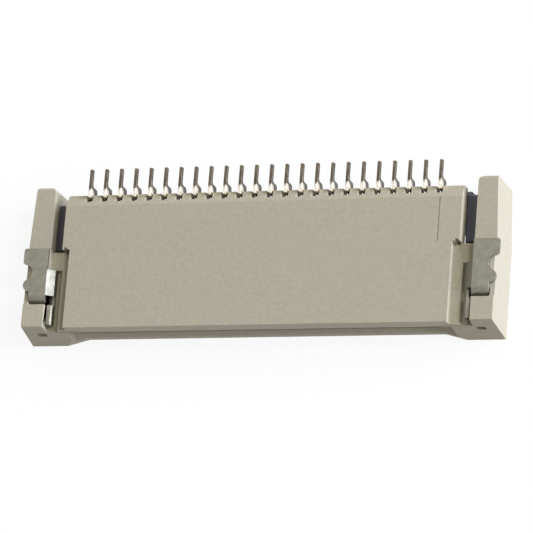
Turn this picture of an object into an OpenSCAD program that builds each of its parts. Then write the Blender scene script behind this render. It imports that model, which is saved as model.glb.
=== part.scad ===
// Connector for a flexible flat cable: surface mount, side entry, with a
// locking lever at the rear. It lies on its top face, soldering side up:
// +Z is the board side, -Y the mouth for the cable, +Y the solder tails.

/* [Contacts] */
// Number of contacts in the row
contact_count = 24; // [4:1:30]
// Distance between neighbouring contacts
pitch = 1; // [0.9:0.05:1.5]
// Thickness of the contact sheet, across the row
contact_t = 0.2; // [0.15:0.01:0.25]
// Depth of a contact's tail and beams, in the plane of the sheet
beam_t = 0.25; // [0.2:0.01:0.28]
// Depth of a contact's broad leg, in the plane of the sheet
leg_w = 0.8; // [0.6:0.05:0.9]
// Distance of the leg's front edge in front of the housing's rear face
leg_seat = 0.3; // [0.2:0.01:0.4]
// Reach of the tails behind the seating pad
tail_reach = 2.4; // [1.8:0.05:4]
// Outer radius of the bend between leg and tail
tail_bend_r = 0.45; // [0.3:0.01:0.5]
// Setback of a contact's front end behind the lips of the mouth
tip_inset = 1.3; // [0.8:0.05:2]
// Radius of the rounded contact points
tip_r = 0.2; // [0.15:0.01:0.25]
// Reach of the contact points into the mouth
tip_reach = 0.15; // [0.05:0.01:0.2]
// Clearance of a contact in its groove, on each side
groove_clearance = 0.03; // [0.01:0.01:0.06]

/* [Housing] */
// Height of the housing, from its top face to the board
body_h = 2.8; // [2.7:0.05:3.2]
// Depth of the seating pad, from the mouth to its rear edge
body_depth = 8; // [7.9:0.05:11]
// Housing beyond the outermost contact, on each side
body_side = 1.5; // [1.4:0.05:2.5]
// Depth of the wide rear part of the seating pad
rear_depth = 2.85; // [2.8:0.05:3]
// Step in the pad's side where its narrow front part starts
pad_inset = 0.5; // [0.2:0.05:0.6]
// Drop of the ledge beside the narrow part
ledge_drop = 0.6; // [0.3:0.05:0.8]
// Run of the sloping rear edge
chamfer_run = 0.8; // [0.6:0.05:0.9]
// Drop of the sloping rear edge
chamfer_drop = 0.4; // [0.1:0.05:0.6]
// Thickness of the wall over the mouth
top_wall = 0.75; // [0.7:0.01:0.8]
// Height of the mouth
mouth_h = 0.75; // [0.65:0.01:0.8]
// Mouth beyond the outermost contact, on each side
mouth_side = 1.05; // [0.6:0.05:1.1]
// Lead-in slope at the lips of the mouth
lip = 0.25; // [0.1:0.01:0.3]
// Thickness of the stop wall behind the mouth
stop_wall = 0.4; // [0.3:0.05:0.6]
// Width of the open pocket beside each contact's leg, in which it stands to the right
pocket_w = 0.42; // [0.35:0.01:0.6]
// Clearance of the leg in that pocket, in front of it
pocket_gap = 0.2; // [0.1:0.01:0.3]
// Breadth of the rail below the ledge
rail = 0.12; // [0.05:0.01:0.2]
// Radius of the small round recess at the step in the pad's side
recess_r = 0.14; // [0.1:0.01:0.2]
// Width of the parting groove across the seating pad
score_w = 0.12; // [0.05:0.01:0.2]

/* [Ears] */
// Gap between the housing's side and the ear
ear_gap = 0.9; // [0.8:0.05:1.4]
// Width of an ear
ear_w = 1.45; // [1.3:0.05:2.2]
// Reach of an ear behind the seating pad
ear_reach = 1.35; // [0.9:0.05:2]
// Taper of an ear's outer side towards its rear end
ear_taper = 0.2; // [0:0.01:0.3]
// Draft of an ear's outer side, which is widest at the top face
ear_draft = 0.18; // [0.05:0.01:0.3]
// Radius of the ear's rear corners
corner_r = 0.35; // [0.1:0.01:0.4]
// Length of the raised block at the front of an ear
block_len = 1.52; // [1.3:0.01:1.7]
// Height of that block below the seating pad
block_drop = 0.05; // [0:0.01:0.15]
// Setback of the ear's front face at the board
block_inset = 0.12; // [0:0.01:0.3]
// Slope of the ear's front face, from board to top
toe = 0.5; // [0.3:0.05:0.7]
// Depth, in height, of the trench behind the block
trench_h = 0.65; // [0.4:0.05:0.7]
// Length of the bridge between ear and housing
bridge_len = 1.2; // [0.8:0.05:1.3]
// Height of the wall that closes the gap towards the top face
gap_wall = 1.9; // [1.5:0.05:2]
// Run, along the row, of the slanted corner between housing and ear
corner_run = 1.3; // [0.8:0.05:1.6]

/* [Lever] */
// Distance of the lever's hinge in front of the pad's rear edge
hinge_inset = 1.45; // [1.4:0.01:1.5]
// Thickness of the lever's rear edge at its ends
lever_t = 0.57; // [0.5:0.01:0.7]
// Reach of the lever behind the seating pad
lever_reach = 0.75; // [0.5:0.05:1]
// Setback of the lever from the top face
lever_recess = 0.08; // [0.05:0.01:0.12]
// Reach of the lever's end cheeks in front of the hinge
cheek_front = 1.25; // [1:0.01:1.3]
// Reach of the end cheeks' top behind the hinge
cheek_rear = 1.85; // [1.5:0.01:1.95]
// Height of the end cheeks above the hinge
cheek_rise = 0.6; // [0.45:0.01:0.65]
// Radius of the lever's cam bar
cam_r = 0.42; // [0.3:0.01:0.42]
// Width across the flats of the cam bar
cam_flat = 0.64; // [0.5:0.01:0.7]
// Radius of the lever's hinge pins
pin_r = 0.35; // [0.25:0.01:0.4]
// Length of a hinge pin inside its ear
pin_len = 0.4; // [0.3:0.05:0.5]
// Running clearance of a hinge pin in its hole
pin_clearance = 0.03; // [0.02:0.01:0.05]
// Running clearance of the lever between the ears
lever_clearance = 0.06; // [0.03:0.01:0.08]
// Clearance of a contact in the lever's comb, on each side
comb_clearance = 0.1; // [0.06:0.01:0.12]

/* [Solder tabs] */
// Thickness of the tab sheet
tab_t = 0.2; // [0.15:0.01:0.25]
// Overhang of the tab outside the ear
tab_overhang = 0.2; // [0.1:0.01:0.3]
// Distance of the solder notch in front of the tab's rear edge
notch_inset = 1.55; // [1.4:0.01:1.7]
// Radius of the solder notch in the tab's outer edge
notch_r = 0.53; // [0.4:0.01:0.6]
// Radius of the lobe in front of the notch
lobe_r = 0.42; // [0.3:0.01:0.45]
// Radius of the corners behind the notch
tab_corner_r = 0.15; // [0.1:0.01:0.2]
// Radius of the tab's curled front end
curl_r = 0.5; // [0.4:0.01:0.6]
// Gap between the curled end and the ear's block
curl_gap = 0.05; // [0.03:0.01:0.1]
// Breadth of the tab's sloping flange beside the ear
flange_run = 0.45; // [0.35:0.01:0.5]
// Drop of that flange
flange_drop = 0.38; // [0.3:0.01:0.5]
// Depth of the tab's web below the flange
web_depth = 0.45; // [0.3:0.01:0.5]
// Rise of the tongue beside the block over the flange's lower edge
tongue_rise = 0.08; // [0.05:0.01:0.15]

/* [Hidden] */
$fn = 32;

// How far a cut runs past the faces that it opens, and how far one form of a
// piece runs into the next
over = 0.5;
lap = 0.1;

// Half widths, from the contact row outwards
row_half = (contact_count - 1) * pitch / 2;
body_half = row_half + body_side;
pad_half = body_half - pad_inset;
mouth_half = row_half + mouth_side;
ear_in = body_half + ear_gap;
ear_out = ear_in + ear_w;

// Ends along Y: the ear's front face, and the middle of the whole part
block_y = -body_depth + block_inset;
toe_y = block_y - toe;
middle_y = -(tail_reach + toe_y) / 2;

// Levels, from the top face up to the board
mouth_top = top_wall + mouth_h;
beam_gap = 0.8;
arm_sink = 0.38;
beam_z = body_h - beam_gap - beam_t;
cavity_z = beam_z - 0.05;
ledge_z = body_h - ledge_drop;
ear_z = body_h - tab_t;
trench_z = ear_z - trench_h;
block_z = body_h - block_drop;
arm_z = top_wall - arm_sink;

// The lever's hinge, and the space that its swing takes
cam_gap = 0.08;
hinge_z = cavity_z - cam_r - cam_gap;
cavity_clearance = 0.1;
sweep_clearance = 0.04;
cavity_front = hinge_inset + norm([cam_r, hinge_z - lever_recess]) + cavity_clearance;
slot_front = hinge_inset + norm([cheek_front, cheek_rise]) + sweep_clearance;
lever_half = ear_in - lever_clearance;

// The lever's comb: depth of its slots behind the hinge, its gap under the
// contacts' beams, the bevel of its lower rear edge, the slope of its upper
// edges and the levels of its nose below the hinge. Then the roundness of the
// cheeks' upper edges, and their lower front corner, from the hinge.
comb_reach = 1.05;
comb_gap = 0.12;
comb_bevel = 0.25;
comb_slope = 0.3;
nose = [0.3, 0.7];
cheek_r = 0.12;
cheek_foot = [0.75, 0.34];

// Places along a contact, from its front end: the lower and the upper point
// and the front of the upper arm. Then the runs of a point's two flanks, how
// far the arm runs behind the hinge, and the room in front of the contact.
point_y = 0.7;
arm_point_y = 1.4;
arm_inset = 0.3;
flank = [0.6, 0.35];
arm_end = comb_reach - 0.55;
tip_clearance = 0.2;

// Marks of the mould: a pocket in an ear's front face, the bevel under the
// solder notch, the depth of the groove in the pad
mark_w = 0.65;
mark_h = 0.4;
mark_depth = 0.45;
mark_x = 0.12;
notch_bevel = 0.12;
score_depth = 0.04;
recess_x = 0.2;

// Places along an ear
tab_y = -rear_depth + 0.1;
block_back = block_y + block_len;
tab_front = block_back + curl_gap + curl_r;
tab_gap = 0.05;
tongue_inset = 0.2;
tab_out = ear_out + tab_overhang;
lobe_inset = 0.1;
curl_w = 1.1;
notch_x = tab_out - 0.1;
notch_y = tab_y - notch_inset;
bridge_end = -slot_front - bridge_len;

// Front and rear edge of the contacts' legs, and the radius of their corners
leg_y = chamfer_run - leg_seat;
leg_back = leg_y + leg_w;
foot_r = 0.2;

function contact_x(i) = (i - 1) * pitch - row_half;

// Points of an arc, from angle a to angle b
function arc(c, r, a, b, n = 6) =
    [for (k = [0 : n]) c + r * [cos(a + (b - a) * k / n), sin(a + (b - a) * k / n)]];

// Every piece is drawn from the pad's rear edge and then moved, so that the
// origin lies under the middle of the whole part
module placed() {
    translate([0, middle_y, 0]) children();
}

// Prism of an outline in Y and Z, running along X from x0 to x1
module across(x0, x1) {
    translate([x0, 0, 0])
        rotate([90, 0, 90])
            linear_extrude(x1 - x0) children();
}

// Prism of an outline in X and Z, running along Y from y0 to y1
module along(y0, y1) {
    translate([0, y1, 0])
        rotate([90, 0, 0])
            linear_extrude(y1 - y0) children();
}

// Box between two corners
module box(a, b) {
    translate(a) cube(b - a);
}

// The same shape at the right end and, mirrored, at the left end
module both_ends() {
    for (side = [0, 1]) mirror([side, 0, 0]) children();
}

// ---------------------------------------------------------------- housing

module body_outline() {
    polygon([[-body_depth, 0], [-body_depth, body_h], [0, body_h],
             [chamfer_run, body_h - chamfer_drop], [chamfer_run, cavity_z],
             [-cavity_front, cavity_z], [-cavity_front, 0]]);
}

module mouth_outline() {
    polygon([[-body_depth - over, top_wall - lip - over],
             [-body_depth - over, mouth_top + lip + over],
             [-body_depth + lip, mouth_top],
             [-cavity_front - stop_wall, mouth_top],
             [-cavity_front - stop_wall, top_wall],
             [-body_depth + lip, top_wall]]);
}

// Groove and pocket that one contact sits in
module contact_room() {
    half = contact_t / 2 + groove_clearance;
    top = beam_z + beam_t + groove_clearance;
    box([-half, -body_depth + tip_inset - tip_clearance, arm_z - groove_clearance],
        [half, -cavity_front + over, top]);
    box([-half, -cavity_front + lap, cavity_z - over], [half, chamfer_run + over, top]);
    box([half - pocket_w, leg_y - pocket_gap, cavity_z - over],
        [half, chamfer_run + over, body_h + over]);
}

// Side view of an ear: rear part, seat of the tab and raised block
module ear_side() {
    bevel = corner_r / 2;
    polygon([[toe_y, 0], [block_y, block_z], [block_back, block_z],
             [block_back, ear_z], [ear_reach - bevel, ear_z],
             [ear_reach, ear_z - bevel], [ear_reach, 0]]);
}

// Plan of an ear at its widest, with round rear corners
module ear_plan() {
    foot = ear_out + ear_draft;
    rear_x = foot - ear_taper;
    polygon(concat(
        [[ear_in, toe_y], [foot, toe_y], [foot, -rear_depth]],
        arc([rear_x - corner_r, ear_reach - corner_r], corner_r, 0, 90),
        arc([ear_in + corner_r, ear_reach - corner_r], corner_r, 90, 180)));
}

// What the draft takes off an ear's outer side, from the seat's level down,
// first along the front part and then along the tapering rear part
module draft_cut() {
    lean = atan(ear_draft / ear_z);
    turn = atan(ear_taper / (ear_reach + rear_depth));
    for (angle = [0, turn])
        translate([ear_out, -rear_depth, ear_z]) rotate([0, -lean, angle])
            box([0, -body_depth, -body_h - over], [body_h, body_depth, over]);
}

module ear() {
    difference() {
        intersection() {
            linear_extrude(body_h) ear_plan();
            across(ear_in - over, ear_out + over) ear_side();
        }
        draft_cut();
    }
    // wall under the gap, and the bridge to the housing
    box([body_half - lap, -body_depth + lap, 0], [ear_in + lap, -slot_front, gap_wall]);
    box([body_half - lap, bridge_end, 0], [ear_in + lap, -slot_front, ledge_z]);
    // slanted corner that joins the housing's front to the ear's
    start = body_half - corner_run;
    intersection() {
        linear_extrude(gap_wall)
            polygon([[ear_in + lap, toe_y], [body_half + rail, toe_y],
                     [start, -body_depth], [start, -body_depth + lip],
                     [ear_in + lap, -body_depth + lip]]);
        across(start - over, ear_in + over)
            polygon([[toe_y, 0], [block_y, block_z], [0, block_z], [0, 0]]);
    }
}

module ear_cuts() {
    // hole of the hinge pin
    translate([ear_in - lap, -hinge_inset, hinge_z])
        rotate([0, 90, 0]) cylinder(h = lap + pin_len + tab_gap, r = pin_r + pin_clearance);
    // moulding mark in the front face
    translate([ear_in + mark_x, toe_y - over, block_z / 2])
        cube([mark_w, over + mark_depth, mark_h]);
    // bevel of the outer edge under the solder notch
    along(notch_y - notch_r, notch_y + notch_r)
        polygon([[ear_out - notch_bevel - lap, ear_z + lap], [ear_out + lap, ear_z - notch_bevel - lap],
                 [ear_out + over, ear_z - notch_bevel - lap], [ear_out + over, ear_z + lap]]);
    // trench that the tab's end curls into
    box([ear_in - lap, block_back - tab_gap, trench_z],
        [ear_in + curl_w + tab_gap, tab_front, body_h + over]);
    // small recess at the step in the pad's side
    translate([body_half - recess_x, -rear_depth, ledge_z - recess_r])
        cylinder(h = body_h, r = recess_r);
}

module housing() {
    color([0.72, 0.69, 0.61]) placed() difference() {
        union() {
            across(-body_half, body_half) body_outline();
            both_ends() {
                ear();
                box([body_half - lap, -body_depth, 0], [body_half + rail, -slot_front, ledge_z]);
            }
        }
        across(-mouth_half, mouth_half) mouth_outline();
        for (i = [1 : contact_count]) translate([contact_x(i), 0, 0]) contact_room();
        both_ends() {
            // ledge beside the narrow part of the pad
            box([pad_half, -body_depth - over, ledge_z],
                [body_half + lap, -rear_depth, body_h + over]);
            ear_cuts();
        }
        // shallow parting groove across the rear part of the pad
        box([row_half, -rear_depth, body_h - score_depth],
            [row_half + score_w, chamfer_run, body_h + over]);
    }
}

// ---------------------------------------------------------------- contact

// Points of a contact point at y, which stands from level base to level peak
// with sloping flanks, listed towards +Y or, with way = -1, towards -Y
function contact_point(y, base, peak, way) =
    let (up = sign(peak - base), c = [y, peak - up * tip_r])
    concat([[y - way * flank[0], base]],
           arc(c, tip_r, 90 * up + 50 * up * way, 90 * up - 50 * up * way),
           [[y + way * flank[1], base]]);

module contact_outline() {
    front = -body_depth + tip_inset;
    web = [-cavity_front - stop_wall, -cavity_front - groove_clearance];
    bend = [leg_y + tail_bend_r, body_h - tail_bend_r];
    arm_top = arm_z + beam_t;
    arm_rear = -hinge_inset + arm_end;
    tail_z = body_h - beam_t;
    polygon(concat(
        // tail, and the bend over the leg's front edge
        [[tail_reach, tail_z], [tail_reach, body_h]],
        arc(bend, tail_bend_r, 90, 180),
        // lower beam beside the board, with its point towards the mouth
        [[leg_y, beam_z + beam_t], [front, beam_z + beam_t], [front, beam_z]],
        contact_point(front + point_y, beam_z, mouth_top - tip_reach, 1),
        // web in the stop wall, then the upper arm and its point
        [[web[0], beam_z], [web[0], arm_top]],
        contact_point(front + arm_point_y, arm_top, top_wall + tip_reach, -1),
        [[front + arm_inset, arm_top], [front + arm_inset, arm_z], [arm_rear, arm_z],
         [arm_rear, arm_top], [web[1], arm_top], [web[1], beam_z]],
        // foot of the leg, its rear edge and the fillet under the tail
        arc([leg_back - foot_r, beam_z + foot_r], foot_r, -90, 0),
        arc([leg_back + foot_r, tail_z - foot_r], foot_r, 180, 90)));
}

module contact(i) {
    color([0.62, 0.6, 0.57]) placed()
        across(contact_x(i) - contact_t / 2, contact_x(i) + contact_t / 2)
            contact_outline();
}

// ------------------------------------------------------------------ lever

// Side view of the lever's comb and its thick rear edge
module comb_outline() {
    h = -hinge_inset;
    top = cavity_z - comb_gap;
    polygon([[h - cam_r, hinge_z - nose[0]], [h - cam_r, hinge_z - nose[1]],
             [h - lap, lever_recess], [lever_reach - comb_bevel, lever_recess],
             [lever_reach, lever_recess + comb_bevel], [lever_reach, top - comb_slope],
             [lever_reach - comb_slope, top], [h + comb_slope, top],
             [h, hinge_z + cam_flat / 3]]);
}

// Side view of the end cheeks, which fill the slots beside the ears
module cheek_outline() {
    h = -hinge_inset;
    top = hinge_z + cheek_rise;
    polygon(concat(
        [[h - cheek_foot[0], lever_recess], [lever_reach - comb_bevel, lever_recess],
         [lever_reach, lever_recess + comb_bevel], [lever_reach, lever_recess + lever_t],
         [h + cheek_rear, top - cheek_r], [h + cheek_rear - cheek_r, top]],
        arc([h - cheek_front + cheek_r, top - cheek_r], cheek_r, 90, 180),
        [[h - cheek_front, hinge_z - cheek_foot[1]]]));
}

module lever() {
    comb_half = body_half + lever_clearance;
    slot_w = contact_t + 2 * comb_clearance;
    color([0.14, 0.13, 0.16]) placed() {
        difference() {
            across(-comb_half - lap, comb_half + lap) comb_outline();
            for (i = [1 : contact_count])
                box([contact_x(i) - slot_w / 2, -hinge_inset - 1, lever_recess - over],
                    [contact_x(i) + slot_w / 2, -hinge_inset + comb_reach, cavity_z]);
        }
        both_ends() across(comb_half, lever_half) cheek_outline();
        // cam bar with two flats, between the contacts' arms and beams
        translate([0, -hinge_inset, hinge_z]) intersection() {
            rotate([0, 90, 0]) cylinder(h = 2 * comb_half, r = cam_r, center = true);
            cube([2 * comb_half + 1, cam_flat, 2], center = true);
        }
        both_ends() translate([lever_half - lap, -hinge_inset, hinge_z])
            rotate([0, 90, 0]) cylinder(h = pin_len + lap, r = pin_r);
    }
}

// ------------------------------------------------------------- solder tab

// Centre of a corner that runs smoothly into the solder notch, where the
// corner has radius r, reaches out to x and lies on the notch's rear side
// for way = 1 or on its front side for way = -1
function beside_notch(r, x, way) =
    let (across = notch_x - (x - r))
    [x - r, notch_y + way * sqrt(pow(notch_r + r, 2) - pow(across, 2))];

// Plan of the tab's flat part, with the round solder notch between two lobes
module tab_plan() {
    notch = [notch_x, notch_y];
    rear = beside_notch(tab_corner_r, tab_out, 1);
    lobe = beside_notch(lobe_r, tab_out - lobe_inset, -1);
    rear_angle = atan2(rear[1] - notch_y, rear[0] - notch_x);
    lobe_angle = atan2(lobe[1] - notch_y, lobe[0] - notch_x);
    polygon(concat(
        [[ear_in, tab_y]],
        arc([tab_out - tab_corner_r, tab_y - tab_corner_r], tab_corner_r, 90, 0),
        arc(rear, tab_corner_r, 0, rear_angle - 180),
        arc(notch, notch_r, rear_angle, lobe_angle + 360, 10),
        arc(lobe, lobe_r, lobe_angle + 180, -90, 10),
        [[ear_in + curl_w, tab_front - curl_r], [ear_in, tab_front - curl_r]]));
}

// Side view of the flat part and its curled front end
module tab_side() {
    c = [tab_front, body_h - curl_r];
    low = trench_z + lap;
    polygon(concat([[tab_y, ear_z], [tab_y, body_h]],
                   arc(c, curl_r, 90, 180),
                   [[c[0] - curl_r, low], [c[0] - curl_r + tab_t, low]],
                   arc(c, curl_r - tab_t, 180, 90)));
}

// Section of the sloping flange and the web under it. The flange is a hair
// thinner than the flat part where it runs into it.
module flange_section() {
    in = ear_in - flange_run;
    low = body_h - flange_drop;
    root = ear_in + 0.02;
    polygon([[root, body_h - 0.01], [in, low], [in, low - web_depth],
             [in + tab_t, low - web_depth], [in + tab_t, low - tab_t / 3],
             [root, ear_z + 0.03]]);
}

// Side view of flange and web, and of the tongue beside the block
module flange_side() {
    rear = bridge_end - tab_gap;
    front = block_y + tongue_inset;
    tongue_z = body_h - flange_drop + tongue_rise;
    web_z = body_h - flange_drop - web_depth;
    polygon([[rear, 0], [rear, body_h + over], [tab_front, body_h + over],
             [tab_front, web_z + web_depth / 2], [block_back - tab_gap, web_z + web_depth / 2],
             [block_back - tab_gap, tongue_z], [front, tongue_z], [front, 0]]);
}

module tab() {
    color([0.56, 0.56, 0.52]) placed() {
        intersection() {
            linear_extrude(body_h) tab_plan();
            across(ear_in, tab_out + over) tab_side();
        }
        intersection() {
            along(block_y, bridge_end) flange_section();
            across(ear_in - flange_run - over, ear_out) flange_side();
        }
    }
}

module tab_right() {
    tab();
}

module tab_left() {
    mirror([1, 0, 0]) tab();
}

housing();
lever();
tab_left();
tab_right();
for (i = [1 : contact_count])
    contact(i);
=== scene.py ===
"""Looks of a surface-mount connector for a flexible flat cable, built round its fixed CAD frame.

The connector lies on its top face with the soldering side up. The housing is a pale glass-filled resin,
the locking lever a black one, and the contacts and solder tabs are stamped and tin-plated.
"""
import logging
import math
from dataclasses import dataclass
from enum import Enum

import bmesh
import bpy
from mathutils import Matrix, Vector


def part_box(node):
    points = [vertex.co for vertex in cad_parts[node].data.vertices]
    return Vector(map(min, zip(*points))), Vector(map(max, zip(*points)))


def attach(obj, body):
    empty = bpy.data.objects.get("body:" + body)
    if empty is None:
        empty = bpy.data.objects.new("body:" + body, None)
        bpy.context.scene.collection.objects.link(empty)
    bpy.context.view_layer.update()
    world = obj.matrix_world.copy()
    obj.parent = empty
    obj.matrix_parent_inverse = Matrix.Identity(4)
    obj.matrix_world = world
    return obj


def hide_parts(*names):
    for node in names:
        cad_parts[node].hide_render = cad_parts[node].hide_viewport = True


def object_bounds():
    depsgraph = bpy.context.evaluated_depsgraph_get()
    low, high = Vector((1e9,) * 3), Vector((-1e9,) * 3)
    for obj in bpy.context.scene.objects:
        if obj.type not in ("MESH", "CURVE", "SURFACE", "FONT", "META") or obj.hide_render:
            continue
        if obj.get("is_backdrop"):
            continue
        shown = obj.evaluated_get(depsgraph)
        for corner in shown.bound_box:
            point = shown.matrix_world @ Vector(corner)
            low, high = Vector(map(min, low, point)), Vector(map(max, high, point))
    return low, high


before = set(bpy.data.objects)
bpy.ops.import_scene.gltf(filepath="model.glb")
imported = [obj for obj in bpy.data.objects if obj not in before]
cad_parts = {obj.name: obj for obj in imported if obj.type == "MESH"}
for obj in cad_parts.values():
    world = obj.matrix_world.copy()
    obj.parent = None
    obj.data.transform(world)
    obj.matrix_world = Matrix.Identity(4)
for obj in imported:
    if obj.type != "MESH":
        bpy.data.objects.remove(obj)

LOG = logging.getLogger("connector")
MM = 0.001

Colour = tuple[float, float, float]
Triple = tuple[float, float, float]


class Slot(Enum):
    """The record's material slots."""

    HOUSING = "housing_resin"
    LEVER = "lever_resin"
    TAB = "tab_tin"
    CONTACT = "contact_tin"


class Body(Enum):
    """The bodies of the CAD frame."""

    CONNECTOR = "connector_body"
    LEVER = "locking_lever"


class Side(Enum):
    """The connector's two ends, as they lie here."""

    LEFT = "left"
    RIGHT = "right"


class Mix(Enum):
    """What a Mix node mixes: its data type, and the places of its two inputs and its output."""

    NUMBER = ("FLOAT", 2, 3, 0)
    COLOUR = ("RGBA", 6, 7, 2)


def srgb(red: int, green: int, blue: int) -> Colour:
    """Turns a colour as it is seen into the linear one that shaders take.

    Args:
        red: Red from 0 to 255.
        green: Green from 0 to 255.
        blue: Blue from 0 to 255.

    Returns:
        The linear colour.
    """
    def linear(value: int) -> float:
        """Linear value of one channel, after the sRGB standard."""
        part = value / 255
        return part / 12.92 if part <= 0.04045 else ((part + 0.055) / 1.055) ** 2.4

    return linear(red), linear(green), linear(blue)


def scaled(colour: Colour, gain: float) -> Colour:
    """Makes a linear colour lighter or darker by a gain on each channel."""
    red, green, blue = colour
    return red * gain, green * gain, blue * gain


def direction(azimuth: float, elevation: float) -> Vector:
    """Gives the way from the connector towards a camera or lamp.

    Args:
        azimuth: Angle from the connector's front towards its right, in radians.
        elevation: Angle above the floor, in radians.

    Returns:
        The way, one metre long.
    """
    return Vector((math.sin(azimuth) * math.cos(elevation),
                   -math.cos(azimuth) * math.cos(elevation),
                   math.sin(elevation)))


def add_object(name: str, data: bpy.types.ID) -> bpy.types.Object:
    """Puts a new object into the scene.

    Args:
        name: The object's name.
        data: Its mesh, lamp or camera.

    Returns:
        The new object, at the origin.
    """
    new = bpy.data.objects.new(name, data)
    bpy.context.scene.collection.objects.link(new)
    return new


# --------------------------------------------------------------------------- nodes


def feed(tree: bpy.types.NodeTree, socket: bpy.types.NodeSocket, value: object) -> None:
    """Gives a socket its value.

    Args:
        tree: The nodes that the socket belongs to.
        socket: The input that takes the value.
        value: An output to join it to, or a number, a triple or a colour.
    """
    if isinstance(value, bpy.types.NodeSocket):
        tree.links.new(value, socket)
    elif socket.type == "RGBA":
        socket.default_value = (*value, 1.0)
    else:
        socket.default_value = value


def larger(tree: bpy.types.NodeTree, first: bpy.types.NodeSocket, second: object) -> bpy.types.NodeSocket:
    """Takes the larger of two values.

    Args:
        tree: The nodes to add to.
        first: The first value.
        second: The second value, an output or a number.

    Returns:
        The larger value.
    """
    node = tree.nodes.new("ShaderNodeMath")
    node.operation = "MAXIMUM"
    for socket, value in zip(node.inputs, (first, second)):
        feed(tree, socket, value)
    return node.outputs["Value"]


def seen_rays(tree: bpy.types.NodeTree) -> bpy.types.NodeSocket:
    """Tells the rays that show the studio from those with which it lights the connector.

    Args:
        tree: The material's or the world's nodes.

    Returns:
        One for camera, glossy and transmission rays, otherwise zero.
    """
    rays = tree.nodes.new("ShaderNodeLightPath").outputs
    glossy = larger(tree, rays["Is Camera Ray"], rays["Is Glossy Ray"])
    return larger(tree, glossy, rays["Is Transmission Ray"])


class NodeGraph:
    """A material's node tree, with short ways to add and join nodes."""

    def __init__(self, name: str) -> None:
        """Starts an empty material.

        Args:
            name: The material's name.
        """
        self.material = bpy.data.materials.new(name)
        self.material.use_nodes = True
        self.tree = self.material.node_tree
        self.tree.nodes.clear()
        self.surface = self.add("ShaderNodeOutputMaterial").inputs["Surface"]
        self.place = self.add("ShaderNodeTexCoord").outputs["Object"]

    def add(self, kind: str, **values: object) -> bpy.types.Node:
        """Adds a node and sets its sockets.

        Args:
            kind: The node's type.
            **values: Socket names with underscores for spaces, and the value or output that each takes.

        Returns:
            The new node.
        """
        node = self.tree.nodes.new(kind)
        for name, value in values.items():
            feed(self.tree, node.inputs[name.replace("_", " ")], value)
        return node

    def noise(self, size: float, detail: float = 2.0, rough: float = 0.5) -> bpy.types.NodeSocket:
        """Adds even noise.

        Args:
            size: Width of its patches in metres.
            detail: How many finer layers it has.
            rough: How strong the finer layers are.

        Returns:
            The noise, from 0 to 1.
        """
        node = self.add("ShaderNodeTexNoise", Vector=self.place, Scale=1 / size, Detail=detail,
                        Roughness=rough)
        return node.outputs["Fac"]

    def streaks(self, size: Triple, detail: float = 3.0) -> bpy.types.NodeSocket:
        """Adds noise stretched along some axes, as rolled sheet and flow lines have.

        Args:
            size: Width of its patches along each axis, in metres.
            detail: How many finer layers it has.

        Returns:
            The noise, from 0 to 1.
        """
        mapping = self.add("ShaderNodeMapping", Vector=self.place, Scale=tuple(1 / width for width in size))
        node = self.add("ShaderNodeTexNoise", Vector=mapping.outputs["Vector"], Scale=1.0, Detail=detail)
        return node.outputs["Fac"]

    def spread(self, value: bpy.types.NodeSocket, low: float, high: float,
               start: float = 0.3, end: float = 0.7) -> bpy.types.NodeSocket:
        """Spreads a value between two limits.

        Args:
            value: The value to spread.
            low: The result at start.
            high: The result at end.
            start: Where the spread begins.
            end: Where it ends.

        Returns:
            The spread value.
        """
        node = self.add("ShaderNodeMapRange", Value=value, From_Min=start, From_Max=end,
                        To_Min=low, To_Max=high)
        return node.outputs["Result"]

    def blend(self, share: bpy.types.NodeSocket, first: object, second: object,
              mix: Mix = Mix.COLOUR) -> bpy.types.NodeSocket:
        """Mixes two colours or two numbers.

        Args:
            share: How much of the second one shows.
            first: A colour, a number or an output.
            second: A colour, a number or an output.
            mix: Which of the two kinds is mixed.

        Returns:
            The mixed colour or number.
        """
        data_type, first_place, second_place, result_place = mix.value
        node = self.tree.nodes.new("ShaderNodeMix")
        node.data_type = data_type
        feed(self.tree, node.inputs["Factor"], share)
        feed(self.tree, node.inputs[first_place], first)
        feed(self.tree, node.inputs[second_place], second)
        return node.outputs[result_place]

    def round_line(self, centre: Triple, inner: float, outer: float) -> bpy.types.NodeSocket:
        """Adds a soft mask round a line that runs along X.

        Args:
            centre: A place on the line, in metres.
            inner: Radius up to which the mask is full.
            outer: Radius from which it is empty.

        Returns:
            The mask, from 0 to 1.
        """
        across = self.add("ShaderNodeMapping", Vector=self.place, Location=tuple(-part for part in centre),
                          Scale=(0.0, 1.0, 1.0))
        away = self.tree.nodes.new("ShaderNodeVectorMath")
        away.operation = "LENGTH"
        feed(self.tree, away.inputs[0], across.outputs["Vector"])
        return self.spread(away.outputs["Value"], low=1.0, high=0.0, start=inner, end=outer)

    def relief(self, height: bpy.types.NodeSocket, depth: float,
               under: bpy.types.NodeSocket | None = None) -> bpy.types.NodeSocket:
        """Adds a relief to the surface.

        Args:
            height: The relief's height from 0 to 1.
            depth: Its real depth in metres.
            under: A coarser relief that it lies on.

        Returns:
            The normal.
        """
        values = {"Height": height, "Distance": depth, "Strength": 1.0}
        if under is not None:
            values["Normal"] = under
        return self.add("ShaderNodeBump", **values).outputs["Normal"]

    def finish(self, shader: bpy.types.NodeSocket) -> bpy.types.Material:
        """Joins a shader's output to the surface and gives the finished material."""
        feed(self.tree, self.surface, shader)
        return self.material


# --------------------------------------------------------------------------- finishes


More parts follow.
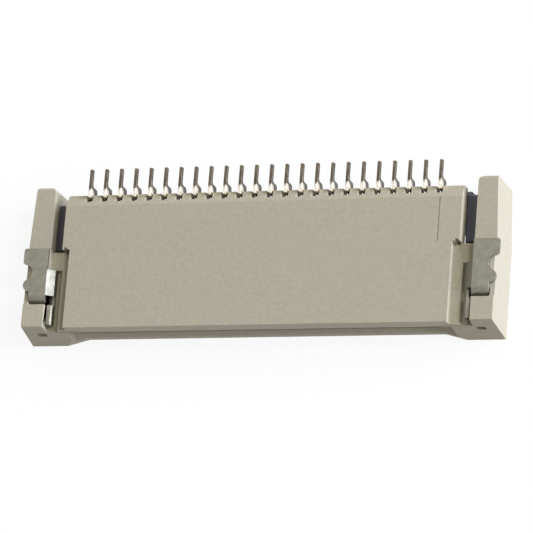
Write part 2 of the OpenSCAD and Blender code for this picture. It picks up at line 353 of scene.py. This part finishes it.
@dataclass(frozen=True)
class MouldedResin:
    """Glass-filled resin as it comes from the mould, with faint flow marks and a fine spark-eroded grain.

    Attributes:
        name: The material's name.
        colour: The resin's own colour.
        cloud: Its colour in the flow marks.
        roughness: The least and the most that it has.
        specular: Strength of its gloss.
        speck_gain: How dark the grain's pits are against the colour.
        mottle_size: Width of the paler patches, in metres.
        mottle_gain: How pale they are against the colour.
        grain_size: Width of the grain, in metres.
        grain_depth: Its depth, in metres.
        flow_size: Length and width of the flow marks, in metres.
        flow_depth: Their depth, in metres.
    """

    name: str
    colour: Colour
    cloud: Colour
    roughness: tuple[float, float]
    specular: float
    speck_gain: float = 0.9
    mottle_size: float = 0.22 * MM
    mottle_gain: float = 1.07
    grain_size: float = 0.07 * MM
    grain_depth: float = 0.004 * MM
    flow_size: Triple = (6 * MM, 1.6 * MM, 1.6 * MM)
    flow_depth: float = 0.006 * MM

    def material(self) -> bpy.types.Material:
        """Builds the material.

        Returns:
            The material.
        """
        graph = NodeGraph(self.name)
        flow = graph.streaks(self.flow_size)
        grain = graph.noise(self.grain_size, rough=0.6)
        patches = graph.noise(self.mottle_size, detail=3.0, rough=0.6)
        tone = graph.blend(graph.spread(flow, low=0.0, high=1.0), self.colour, self.cloud)
        specks = graph.spread(grain, low=0.0, high=0.5, start=0.4, end=0.7)
        speckled = graph.blend(specks, tone, scaled(self.colour, self.speck_gain))
        mottle = graph.spread(patches, low=0.0, high=1.0, start=0.35, end=0.65)
        mottled = graph.blend(mottle, speckled, scaled(self.colour, self.mottle_gain))
        shader = graph.add(
            "ShaderNodeBsdfPrincipled",
            Base_Color=mottled,
            Roughness=graph.spread(grain, *self.roughness),
            Specular_IOR_Level=self.specular,
            Normal=graph.relief(grain, self.grain_depth, graph.relief(flow, self.flow_depth)),
        )
        return graph.finish(shader.outputs["BSDF"])


@dataclass(frozen=True)
class PaintedHighlight:
    """A painted highlight: a pale stripe painted into the contacts' colour at their bends, standing in for
    the lamps' reflection there, with a lower roughness.

    Attributes:
        colour: The painted highlight's colour.
        roughness: Its roughness.
        centre: A place on the stripe's middle line, in metres.
        inner: Radius round that line where the painted highlight is full, in metres.
        outer: Radius from which the plating has no painted highlight, in metres.
    """

    colour: Colour
    roughness: float
    centre: Triple
    inner: float
    outer: float


@dataclass(frozen=True)
class TinnedSheet:
    """Tin-plated stamped sheet, with the rolling direction's fine lines and a cloudy plating.

    Attributes:
        name: The material's name.
        colour: The plating's colour.
        dull: Its colour where it is cloudy.
        roughness: The least and the most that it has.
        line: Length and width of the rolling lines along each axis, in metres.
        metallic: How far it looks like bare metal.
        cloud_size: Width of the clouds, in metres.
        pit_size: Width of the plating's pits, in metres.
        relief: Depth of the lines and the pits, in metres.
        painted_highlight: The stripe of painted highlight at the bends, if there is one.
    """

    name: str
    colour: Colour
    dull: Colour
    roughness: tuple[float, float]
    line: Triple
    metallic: float = 1.0
    cloud_size: float = 0.45 * MM
    pit_size: float = 0.05 * MM
    relief: float = 0.003 * MM
    painted_highlight: PaintedHighlight | None = None

    def material(self) -> bpy.types.Material:
        """Builds the material.

        Returns:
            The material.
        """
        graph = NodeGraph(self.name)
        cloud = graph.noise(self.cloud_size, detail=4.0, rough=0.65)
        rolled = graph.relief(graph.streaks(self.line), self.relief)
        dulled = graph.spread(cloud, low=0.0, high=1.0, start=0.35, end=0.65)
        tone = graph.blend(dulled, self.colour, self.dull)
        rough = graph.spread(cloud, *self.roughness)
        # Painted highlight: a pale stripe painted into the colour round a line along X, standing in for the
        # lamps' reflection at the bends, with a lower roughness.
        if self.painted_highlight is not None:
            bright = graph.round_line(self.painted_highlight.centre, self.painted_highlight.inner, self.painted_highlight.outer)
            tone = graph.blend(bright, tone, self.painted_highlight.colour)
            rough = graph.blend(bright, rough, self.painted_highlight.roughness, Mix.NUMBER)
        shader = graph.add(
            "ShaderNodeBsdfPrincipled",
            Base_Color=tone,
            Metallic=self.metallic,
            Roughness=rough,
            Normal=graph.relief(graph.noise(self.pit_size), self.relief, rolled),
        )
        return graph.finish(shader.outputs["BSDF"])


@dataclass(frozen=True)
class StudioPaper:
    """White paper that the connector lies on. It lights the connector less than it shows.

    Attributes:
        name: The material's name.
        colour: The paper's colour.
        shade: Its colour between the fibres.
        fibre_size: Width of the fibres, in metres.
        bounce: The colour with which it lights the connector.
        glow: How far it shows as plain white, which leaves the rest for the shadow.
    """

    name: str = "studio_paper"
    colour: Colour = (0.97, 0.97, 0.97)
    shade: Colour = (0.95, 0.95, 0.95)
    fibre_size: float = 2 * MM
    bounce: Colour = (0.42, 0.42, 0.42)
    glow: float = 0.9

    def material(self) -> bpy.types.Material:
        """Builds the material.

        Returns:
            The material, which shows white to the camera and in the metal, and keeps the shadow.
        """
        graph = NodeGraph(self.name)
        seen = seen_rays(graph.tree)
        fibre = graph.spread(graph.noise(self.fibre_size, detail=4.0), low=0.99, high=1.0)
        tint = graph.blend(fibre, self.shade, self.colour)
        paper = graph.add("ShaderNodeBsdfDiffuse", Color=graph.blend(seen, self.bounce, tint))
        light = graph.add("ShaderNodeEmission", Color=(1.0, 1.0, 1.0), Strength=1.0)
        share = graph.spread(seen, low=0.0, high=self.glow, start=0.0, end=1.0)
        both = graph.add("ShaderNodeMixShader", Fac=share)
        feed(graph.tree, both.inputs[1], paper.outputs["BSDF"])
        feed(graph.tree, both.inputs[2], light.outputs["Emission"])
        return graph.finish(both.outputs["Shader"])


# --------------------------------------------------------------------------- shared mesh work


@dataclass(frozen=True)
class RoundedCopy:
    """Copies a CAD node and rounds its edges, as a mould or a punch leaves them.

    Attributes:
        width: Width of the rounding, in metres.
        segments: Strips across the rounding.
        profile: Its roundness, where a half is a true arc.
        sharpest: Least angle between two faces whose edge is rounded, in radians.
        room: Shortest edge next to a rounded one, in widths of the rounding.
        crease: Angle from which the shading breaks at an edge, in radians.
        plane: Width of a face from which it counts as a broad plane, in millimetres.
        weld: Distance at which points are joined, in millimetres.
        flat: Angle up to which neighbouring faces are one plane, in radians.
        shortest: Least length of an edge to divide by, in millimetres.
    """

    width: float
    segments: int = 3
    profile: float = 0.5
    sharpest: float = math.radians(28)
    room: float = 2.1
    crease: float = math.radians(38)
    plane: float = 0.35
    weld: float = 1e-4
    flat: float = math.radians(0.5)
    shortest: float = 1e-6

    def takes(self, edge: bmesh.types.BMEdge, width: float) -> bool:
        """Tells whether an edge is rounded.

        Args:
            edge: The edge.
            width: The rounding's width, in the mesh's unit.

        Returns:
            True for a sharp edge whose ends have room for the rounding.
        """
        if not edge.is_manifold or edge.calc_face_angle(0.0) < self.sharpest:
            return False
        around = {other for vertex in edge.verts for other in vertex.link_edges}
        return min(other.calc_length() for other in around) > self.room * width

    def creases(self, edge: bmesh.types.BMEdge) -> bool:
        """Tells whether the shading breaks at an edge.

        Args:
            edge: The edge.

        Returns:
            True between two broad planes, and at any edge that stayed sharp.
        """
        if not edge.is_manifold or edge.calc_face_angle(0.0) > self.crease:
            return True
        length = max(edge.calc_length(), self.shortest)
        return all(face.calc_area() / length > self.plane for face in edge.link_faces)

    def make(self, node: str, name: str) -> bpy.types.Object:
        """Makes the rounded copy. It is worked in millimetres, which keeps small faces exact.

        Args:
            node: The CAD node.
            name: The copy's name.

        Returns:
            The new object, in metres and in the CAD frame.
        """
        mesh = bmesh.new()
        mesh.from_mesh(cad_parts[node].data)
        bmesh.ops.scale(mesh, vec=Vector((1 / MM, 1 / MM, 1 / MM)), verts=mesh.verts)
        bmesh.ops.remove_doubles(mesh, verts=mesh.verts, dist=self.weld)
        bmesh.ops.dissolve_limit(mesh, angle_limit=self.flat, verts=mesh.verts, edges=mesh.edges)
        width = self.width / MM
        edges = [edge for edge in mesh.edges if self.takes(edge, width)]
        bmesh.ops.bevel(mesh, geom=edges, offset=width, offset_type="OFFSET", segments=self.segments,
                        profile=self.profile, affect="EDGES", clamp_overlap=True)
        for face in mesh.faces:
            face.smooth = True
        for edge in mesh.edges:
            edge.smooth = not self.creases(edge)
        bmesh.ops.scale(mesh, vec=Vector((MM, MM, MM)), verts=mesh.verts)
        data = bpy.data.meshes.new(name)
        mesh.to_mesh(data)
        mesh.free()
        piece = add_object(name, data)
        piece.modifiers.new("flat_faces", "WEIGHTED_NORMAL").keep_sharp = True
        return piece


def dress(piece: bpy.types.Object, finish: bpy.types.Material, body: Body, node: str) -> None:
    """Gives a piece its finish and its place in the assembly.

    Args:
        piece: The piece.
        finish: Its material.
        body: The body that it moves with.
        node: The CAD node that it stands for.
    """
    piece.data.materials.clear()
    piece.data.materials.append(finish)
    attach(piece, body.value)
    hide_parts(node)
    LOG.info("%s stands for %s: %d faces", piece.name, node, len(piece.data.polygons))


# --------------------------------------------------------------------------- the connector


@dataclass
class Housing:
    """The moulded housing with its two ears.

    Attributes:
        edge: How its edges are rounded.
        resin: Its finish.
    """

    edge: RoundedCopy = RoundedCopy(width=0.08 * MM)
    resin: MouldedResin = MouldedResin(
        name="housing_resin_moulded",
        colour=srgb(167, 160, 139),
        cloud=srgb(163, 157, 141),
        roughness=(0.48, 0.64),
        specular=0.22,
    )

    def build(self) -> None:
        """Builds and dresses the housing."""
        piece = self.edge.make("housing", "housing_shell")
        dress(piece, self.resin.material(), Body.CONNECTOR, "housing")


@dataclass
class Lever:
    """The black locking lever.

    Attributes:
        edge: How its edges are rounded.
        resin: Its finish.
    """

    edge: RoundedCopy = RoundedCopy(width=0.03 * MM)
    resin: MouldedResin = MouldedResin(
        name="lever_resin_moulded",
        colour=srgb(61, 59, 70),
        cloud=srgb(71, 69, 83),
        roughness=(0.4, 0.55),
        specular=0.45,
    )

    def build(self) -> None:
        """Builds and dresses the lever."""
        piece = self.edge.make("lever", "lever_bar")
        dress(piece, self.resin.material(), Body.LEVER, "lever")


@dataclass
class SolderTabs:
    """The two stamped tabs that hold the ears to the board.

    Attributes:
        edge: How their edges are rounded.
        tin: Their finish.
    """

    edge: RoundedCopy = RoundedCopy(width=0.03 * MM)
    tin: TinnedSheet = TinnedSheet(
        name="tab_tin_matte",
        colour=srgb(131, 129, 117),
        dull=srgb(117, 116, 105),
        roughness=(0.42, 0.56),
        line=(0.05 * MM, 1.2 * MM, 1.2 * MM),
        metallic=0.9,
    )

    def build(self) -> None:
        """Builds and dresses both tabs."""
        material = self.tin.material()
        for side in Side:
            piece = self.edge.make(f"tab_{side.value}", f"solder_tab_{side.value}")
            dress(piece, material, Body.CONNECTOR, f"tab_{side.value}")


@dataclass
class ContactRow:
    """The stamped contacts, one in each groove of the housing.

    Attributes:
        edge: How their edges are rounded.
        tin: Their finish, with a painted highlight across the bends behind the housing.
    """

    edge: RoundedCopy = RoundedCopy(width=0.03 * MM)
    tin: TinnedSheet = TinnedSheet(
        name="contact_tin_painted_highlight",
        colour=srgb(91, 83, 72),
        dull=srgb(76, 70, 60),
        roughness=(0.3, 0.42),
        line=(0.3 * MM, 0.9 * MM, 0.04 * MM),
        # Painted highlight at the bends behind the housing, standing in for the lamps' reflection there.
        painted_highlight=PaintedHighlight(
            colour=srgb(240, 231, 214),
            roughness=0.16,
            centre=(0.0, 3.82 * MM, 2.6 * MM),
            inner=0.2 * MM,
            outer=0.38 * MM,
        ),
    )

    def names(self) -> list[str]:
        """Names of the contact nodes, in order along the row."""
        nodes = [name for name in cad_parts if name.startswith("contact_")]
        return sorted(nodes, key=lambda name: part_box(name)[0].x)

    def build(self) -> None:
        """Builds and dresses each contact."""
        material = self.tin.material()
        for number, node in enumerate(self.names(), start=1):
            piece = self.edge.make(node, f"stamped_contact_{number:02d}")
            dress(piece, material, Body.CONNECTOR, node)


# --------------------------------------------------------------------------- studio


@dataclass
class Camera:
    """A long lens that looks down on the soldering side from the front right.

    Attributes:
        azimuth: Where it stands, from the front towards the right, in radians.
        elevation: Its height, in radians.
        roll: Its turn about its own axis, in radians.
        distance: Its distance from what it aims at, in metres.
        lens: Focal length, in millimetres.
        sensor: Width of the picture behind the lens, in millimetres.
        nearest: Distance from which things show, in metres.
        farthest: Distance up to which they show, in metres.
        aim: What it looks at, from under the middle of the row of tails' ends, in metres.
    """

    azimuth: float = math.radians(48.86)
    elevation: float = math.radians(64.49)
    roll: float = math.radians(-47.16)
    distance: float = 250 * MM
    lens: float = 271.95
    sensor: float = 36.0
    nearest: float = 10 * MM
    farthest: float = 20.0
    aim: Triple = (0.1965 * MM, -6.2298 * MM, 1.4 * MM)

    def build(self) -> None:
        """Makes the scene's camera."""
        tails_end = Vector((0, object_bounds()[1][1], 0))
        back = direction(self.azimuth, self.elevation)
        level = Vector((0, 0, 1)).cross(back).normalized()
        upright = back.cross(level)
        right = level * math.cos(self.roll) + upright * math.sin(self.roll)
        turned = Matrix((right, back.cross(right), back)).transposed().to_4x4()
        data = bpy.data.cameras.new("camera")
        data.lens = self.lens
        data.sensor_width = self.sensor
        data.clip_start = self.nearest
        data.clip_end = self.farthest
        place = tails_end + Vector(self.aim) + back * self.distance
        camera = add_object("camera", data)
        camera.matrix_world = Matrix.Translation(place) @ turned
        bpy.context.scene.camera = camera


@dataclass(frozen=True)
class SoftLamp:
    """A large soft lamp that faces the connector.

    Attributes:
        name: The lamp's name.
        azimuth: Where it stands, from the front towards the right, in radians.
        elevation: Its height, in radians.
        size: Its width and height, in metres.
        power: Its power, in watts.
        colour: The colour of its light.
        distance: Its distance from the connector, in metres.
    """

    name: str
    azimuth: float
    elevation: float
    size: tuple[float, float]
    power: float
    colour: Colour
    distance: float = 1.2

    def build(self) -> None:
        """Places the lamp."""
        way = direction(self.azimuth, self.elevation)
        data = bpy.data.lights.new(self.name, "AREA")
        data.shape = "RECTANGLE"
        data.size, data.size_y = self.size
        data.energy = self.power
        data.color = self.colour
        lamp = add_object(self.name, data)
        lamp.location = way * self.distance
        lamp.rotation_euler = way.to_track_quat("Z", "Y").to_euler()


WINDOW = SoftLamp(
    name="window",
    azimuth=math.radians(100),
    elevation=math.radians(18),
    size=(1.0, 0.7),
    power=32.0,
    colour=(0.79, 0.83, 1.0),
)
KEY = SoftLamp(
    name="key",
    azimuth=math.radians(107),
    elevation=math.radians(50),
    size=(0.25, 0.25),
    power=4.9,
    colour=(0.94, 1.0, 0.9),
)
REAR = SoftLamp(
    name="rear",
    azimuth=math.radians(200),
    elevation=math.radians(42),
    size=(0.8, 0.8),
    power=3.9,
    colour=(1.0, 0.93, 0.87),
)
FRONT = SoftLamp(
    name="front",
    azimuth=math.radians(8),
    elevation=math.radians(9),
    size=(1.2, 0.4),
    power=4.1,
    colour=(0.98, 0.95, 1.0),
)


@dataclass
class Studio:
    """Pale floor, soft lamps and an even sky, which is white where it shows and dim as a light.

    Attributes:
        floor_size: Width of the floor, in metres.
        floor_cells: Squares along each side of the floor.
        floor_gap: How far the floor lies below the connector, in metres.
        paper: The floor's finish.
        sky: The sky's colour.
        sky_strength: How strongly it lights the connector.
        lamps: The lamps.
    """

    floor_size: float = 3.0
    floor_cells: int = 8
    floor_gap: float = 0.02 * MM
    paper: StudioPaper = StudioPaper()
    sky: Colour = (1.0, 1.0, 1.0)
    sky_strength: float = 0.14
    lamps: tuple[SoftLamp, ...] = (WINDOW, KEY, REAR, FRONT)

    def lay_floor(self) -> None:
        """Lays the floor just under the connector."""
        mesh = bmesh.new()
        bmesh.ops.create_grid(mesh, x_segments=self.floor_cells, y_segments=self.floor_cells,
                              size=self.floor_size / 2)
        data = bpy.data.meshes.new("floor")
        mesh.to_mesh(data)
        mesh.free()
        data.materials.append(self.paper.material())
        floor = add_object("floor", data)
        floor.location.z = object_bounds()[0][2] - self.floor_gap
        floor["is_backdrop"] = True

    def hang_sky(self) -> None:
        """Makes the world, as bright as plain white wherever it shows."""
        world = bpy.data.worlds.new("sky")
        world.use_nodes = True
        tree = world.node_tree
        background = tree.nodes["Background"]
        feed(tree, background.inputs["Color"], self.sky)
        feed(tree, background.inputs["Strength"], larger(tree, seen_rays(tree), self.sky_strength))
        bpy.context.scene.world = world

    def build(self) -> None:
        """Sets the whole studio up."""
        self.lay_floor()
        self.hang_sky()
        bpy.context.scene.view_settings.view_transform = "Standard"
        for lamp in self.lamps:
            lamp.build()


def main() -> None:
    """Builds the connector's looks and the studio."""
    logging.basicConfig(level=logging.INFO, format="%(name)s: %(message)s")
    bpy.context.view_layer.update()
    Camera().build()
    for part in (Housing(), Lever(), SolderTabs(), ContactRow(), Studio()):
        part.build()
        LOG.info("%s is done", type(part).__name__)


if __name__ == "__main__":
    main()
